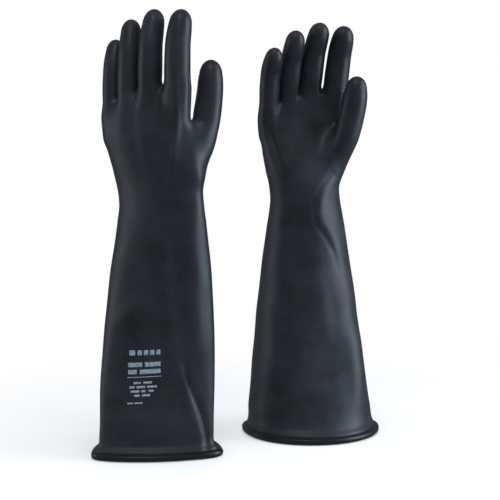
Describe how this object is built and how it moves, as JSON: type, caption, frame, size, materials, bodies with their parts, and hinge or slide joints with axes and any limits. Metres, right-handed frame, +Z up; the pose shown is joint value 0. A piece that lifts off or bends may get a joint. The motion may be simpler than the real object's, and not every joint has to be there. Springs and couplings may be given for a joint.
{
  "type": "electrical insulating gloves",
  "caption": "Long black rubber insulating gauntlets with rolled cuffs, standing upright, whose wrists, fingers and thumbs bend.",
  "frame": {"origin": "on the ground, at the middle of the pair's bounding box", "axes": "+Z up the arms to the fingertips, +X towards both thumbs, -Y to the front, where the left glove shows the back of its hand"},
  "size_m": [0.3088, 0.1808, 0.4595],
  "materials": {
    "glove_rubber": "smooth satin black rubber",
    "rim_rubber": "smooth satin black rubber, rolled rim",
    "print_ink": "matt pale blue-grey stamped ink"
  },
  "bodies": {
    "left_gauntlet": {"left_cuff_bead": "rim_rubber", "left_sleeve": "glove_rubber", "left_wrist_fold": "glove_rubber"},
    "left_hand": {"left_palm": "glove_rubber", "left_knuckles": "glove_rubber"},
    "left_index_base": {"left_index_root_fold": "glove_rubber", "left_index_lower": "glove_rubber"},
    "left_index_end": {"left_index_middle_fold": "glove_rubber", "left_index_tip": "glove_rubber"},
    "left_middle_base": {"left_middle_root_fold": "glove_rubber", "left_middle_lower": "glove_rubber"},
    "left_middle_end": {"left_middle_middle_fold": "glove_rubber", "left_middle_tip": "glove_rubber"},
    "left_ring_base": {"left_ring_root_fold": "glove_rubber", "left_ring_lower": "glove_rubber"},
    "left_ring_end": {"left_ring_middle_fold": "glove_rubber", "left_ring_tip": "glove_rubber"},
    "left_little_base": {"left_little_root_fold": "glove_rubber", "left_little_lower": "glove_rubber"},
    "left_little_end": {"left_little_middle_fold": "glove_rubber", "left_little_tip": "glove_rubber"},
    "left_thumb_base": {"left_thumb_root_fold": "glove_rubber", "left_thumb_lower": "glove_rubber"},
    "left_thumb_end": {"left_thumb_middle_fold": "glove_rubber", "left_thumb_tip": "glove_rubber"},
    "right_gauntlet": {"right_cuff_bead": "rim_rubber", "right_sleeve": "glove_rubber", "right_wrist_fold": "glove_rubber"},
    "right_hand": {"right_palm": "glove_rubber", "right_knuckles": "glove_rubber"},
    "right_index_base": {"right_index_root_fold": "glove_rubber", "right_index_lower": "glove_rubber"},
    "right_index_end": {"right_index_middle_fold": "glove_rubber", "right_index_tip": "glove_rubber"},
    "right_middle_base": {"right_middle_root_fold": "glove_rubber", "right_middle_lower": "glove_rubber"},
    "right_middle_end": {"right_middle_middle_fold": "glove_rubber", "right_middle_tip": "glove_rubber"},
    "right_ring_base": {"right_ring_root_fold": "glove_rubber", "right_ring_lower": "glove_rubber"},
    "right_ring_end": {"right_ring_middle_fold": "glove_rubber", "right_ring_tip": "glove_rubber"},
    "right_little_base": {"right_little_root_fold": "glove_rubber", "right_little_lower": "glove_rubber"},
    "right_little_end": {"right_little_middle_fold": "glove_rubber", "right_little_tip": "glove_rubber"},
    "right_thumb_base": {"right_thumb_root_fold": "glove_rubber", "right_thumb_lower": "glove_rubber"},
    "right_thumb_end": {"right_thumb_middle_fold": "glove_rubber", "right_thumb_tip": "glove_rubber"}
  },
  "joints": [
    {"name": "right_glove_lift", "type": "slide", "parent": "left_gauntlet", "child": "right_gauntlet", "axis": [0, 0, 1], "range_m": [0, 0.6]},
    {"name": "left_wrist_bend", "type": "hinge", "parent": "left_gauntlet", "child": "left_hand", "pos_m": [-0.08106, -0.04878, 0.26], "axis": [-0.9063, 0.4226, 0], "range_deg": [-30, 30], "stiffness_Nm_per_rad": 2, "deforming": ["left_wrist_fold"]},
    {"name": "left_index_root_bend", "type": "hinge", "parent": "left_hand", "child": "left_index_base", "pos_m": [-0.06307, -0.06082, 0.39596], "axis": [-0.9062, 0.4226, -0.0175], "range_deg": [-15, 65], "stiffness_Nm_per_rad": 0.25, "deforming": ["left_index_root_fold"]},
    {"name": "left_index_middle_bend", "type": "hinge", "parent": "left_index_base", "child": "left_index_end", "pos_m": [-0.06265, -0.05863, 0.42688], "axis": [-0.9062, 0.4226, -0.0175], "range_deg": [-10, 60], "stiffness_Nm_per_rad": 0.2, "deforming": ["left_index_middle_fold"]},
    {"name": "left_middle_root_bend", "type": "hinge", "parent": "left_hand", "child": "left_middle_base", "pos_m": [-0.09151, -0.05022, 0.39491], "axis": [-0.9061, 0.4225, -0.0227], "range_deg": [-15, 65], "stiffness_Nm_per_rad": 0.25, "deforming": ["left_middle_root_fold"]},
    {"name": "left_middle_middle_bend", "type": "hinge", "parent": "left_middle_base", "child": "left_middle_end", "pos_m": [-0.09077, -0.04699, 0.42574], "axis": [-0.9061, 0.4225, -0.0227], "range_deg": [-10, 60], "stiffness_Nm_per_rad": 0.2, "deforming": ["left_middle_middle_fold"]},
    {"name": "left_ring_root_bend", "type": "hinge", "parent": "left_hand", "child": "left_ring_base", "pos_m": [-0.11383, -0.03842, 0.38788], "axis": [-0.9056, 0.4223, -0.0401], "range_deg": [-15, 65], "stiffness_Nm_per_rad": 0.25, "deforming": ["left_ring_root_fold"]},
    {"name": "left_ring_middle_bend", "type": "hinge", "parent": "left_ring_base", "child": "left_ring_end", "pos_m": [-0.11339, -0.03479, 0.41614], "axis": [-0.9056, 0.4223, -0.0401], "range_deg": [-10, 60], "stiffness_Nm_per_rad": 0.2, "deforming": ["left_ring_middle_fold"]},
    {"name": "left_little_root_bend", "type": "hinge", "parent": "left_hand", "child": "left_little_base", "pos_m": [-0.13211, -0.02262, 0.37776], "axis": [-0.9041, 0.4216, -0.0698], "range_deg": [-15, 65], "stiffness_Nm_per_rad": 0.25, "deforming": ["left_little_root_fold"]},
    {"name": "left_little_middle_bend", "type": "hinge", "parent": "left_little_base", "child": "left_little_end", "pos_m": [-0.13185, -0.01824, 0.40084], "axis": [-0.9041, 0.4216, -0.0698], "range_deg": [-10, 60], "stiffness_Nm_per_rad": 0.2, "deforming": ["left_little_middle_fold"]},
    {"name": "left_thumb_root_bend", "type": "hinge", "parent": "left_hand", "child": "left_thumb_base", "pos_m": [-0.03328, -0.0477, 0.35189], "axis": [0.875, 0.4678, -0.1251], "range_deg": [-35, 15], "stiffness_Nm_per_rad": 0.25, "deforming": ["left_thumb_root_fold"]},
    {"name": "left_thumb_middle_bend", "type": "hinge", "parent": "left_thumb_base", "child": "left_thumb_end", "pos_m": [-0.03039, -0.04594, 0.37868], "axis": [0.875, 0.4678, -0.1251], "range_deg": [-50, 10], "stiffness_Nm_per_rad": 0.2, "deforming": ["left_thumb_middle_fold"]},
    {"name": "right_wrist_bend", "type": "hinge", "parent": "right_gauntlet", "child": "right_hand", "pos_m": [0.07064, 0.04322, 0.26], "axis": [0.9848, 0.1736, 0], "range_deg": [-30, 30], "stiffness_Nm_per_rad": 2, "deforming": ["right_wrist_fold"]},
    {"name": "right_index_root_bend", "type": "hinge", "parent": "right_hand", "child": "right_index_base", "pos_m": [0.10389, 0.04702, 0.3877], "axis": [0.983, 0.1733, -0.061], "range_deg": [-15, 50], "stiffness_Nm_per_rad": 0.25, "deforming": ["right_index_root_fold"]},
    {"name": "right_index_middle_bend", "type": "hinge", "parent": "right_index_base", "child": "right_index_end", "pos_m": [0.10692, 0.04047, 0.41785], "axis": [0.983, 0.1733, -0.061], "range_deg": [-10, 50], "stiffness_Nm_per_rad": 0.2, "deforming": ["right_index_middle_fold"]},
    {"name": "right_middle_root_bend", "type": "hinge", "parent": "right_hand", "child": "right_middle_base", "pos_m": [0.07595, 0.04491, 0.38911], "axis": [0.9818, 0.1731, -0.0785], "range_deg": [-15, 65], "stiffness_Nm_per_rad": 0.25, "deforming": ["right_middle_root_fold"]},
    {"name": "right_middle_middle_bend", "type": "hinge", "parent": "right_middle_base", "child": "right_middle_end", "pos_m": [0.07949, 0.03845, 0.41923], "axis": [0.9818, 0.1731, -0.0785], "range_deg": [-10, 50], "stiffness_Nm_per_rad": 0.2, "deforming": ["right_middle_middle_fold"]},
    {"name": "right_ring_root_bend", "type": "hinge", "parent": "right_hand", "child": "right_ring_base", "pos_m": [0.05235, 0.03948, 0.38413], "axis": [0.9835, 0.1734, -0.0523], "range_deg": [-15, 65], "stiffness_Nm_per_rad": 0.25, "deforming": ["right_ring_root_fold"]},
    {"name": "right_ring_middle_bend", "type": "hinge", "parent": "right_ring_base", "child": "right_ring_end", "pos_m": [0.05497, 0.03294, 0.41175], "axis": [0.9835, 0.1734, -0.0523], "range_deg": [-10, 50], "stiffness_Nm_per_rad": 0.2, "deforming": ["right_ring_middle_fold"]},
    {"name": "right_little_root_bend", "type": "hinge", "parent": "right_hand", "child": "right_little_base", "pos_m": [0.03097, 0.02939, 0.37595], "axis": [0.9848, 0.1736, 0], "range_deg": [-15, 65], "stiffness_Nm_per_rad": 0.25, "deforming": ["right_little_root_fold"]},
    {"name": "right_little_middle_bend", "type": "hinge", "parent": "right_little_base", "child": "right_little_end", "pos_m": [0.03209, 0.02303, 0.39855], "axis": [0.9848, 0.1736, 0], "range_deg": [-10, 50], "stiffness_Nm_per_rad": 0.2, "deforming": ["right_little_middle_fold"]},
    {"name": "right_thumb_root_bend", "type": "hinge", "parent": "right_hand", "child": "right_thumb_base", "pos_m": [0.11619, 0.02352, 0.33691], "axis": [-0.698, 0.6745, 0.2406], "range_deg": [-35, 15], "stiffness_Nm_per_rad": 0.25, "deforming": ["right_thumb_root_fold"]},
    {"name": "right_thumb_middle_bend", "type": "hinge", "parent": "right_thumb_base", "child": "right_thumb_end", "pos_m": [0.12155, 0.01973, 0.3631], "axis": [-0.698, 0.6745, 0.2406], "range_deg": [-50, 10], "stiffness_Nm_per_rad": 0.2, "deforming": ["right_thumb_middle_fold"]}
  ]
}
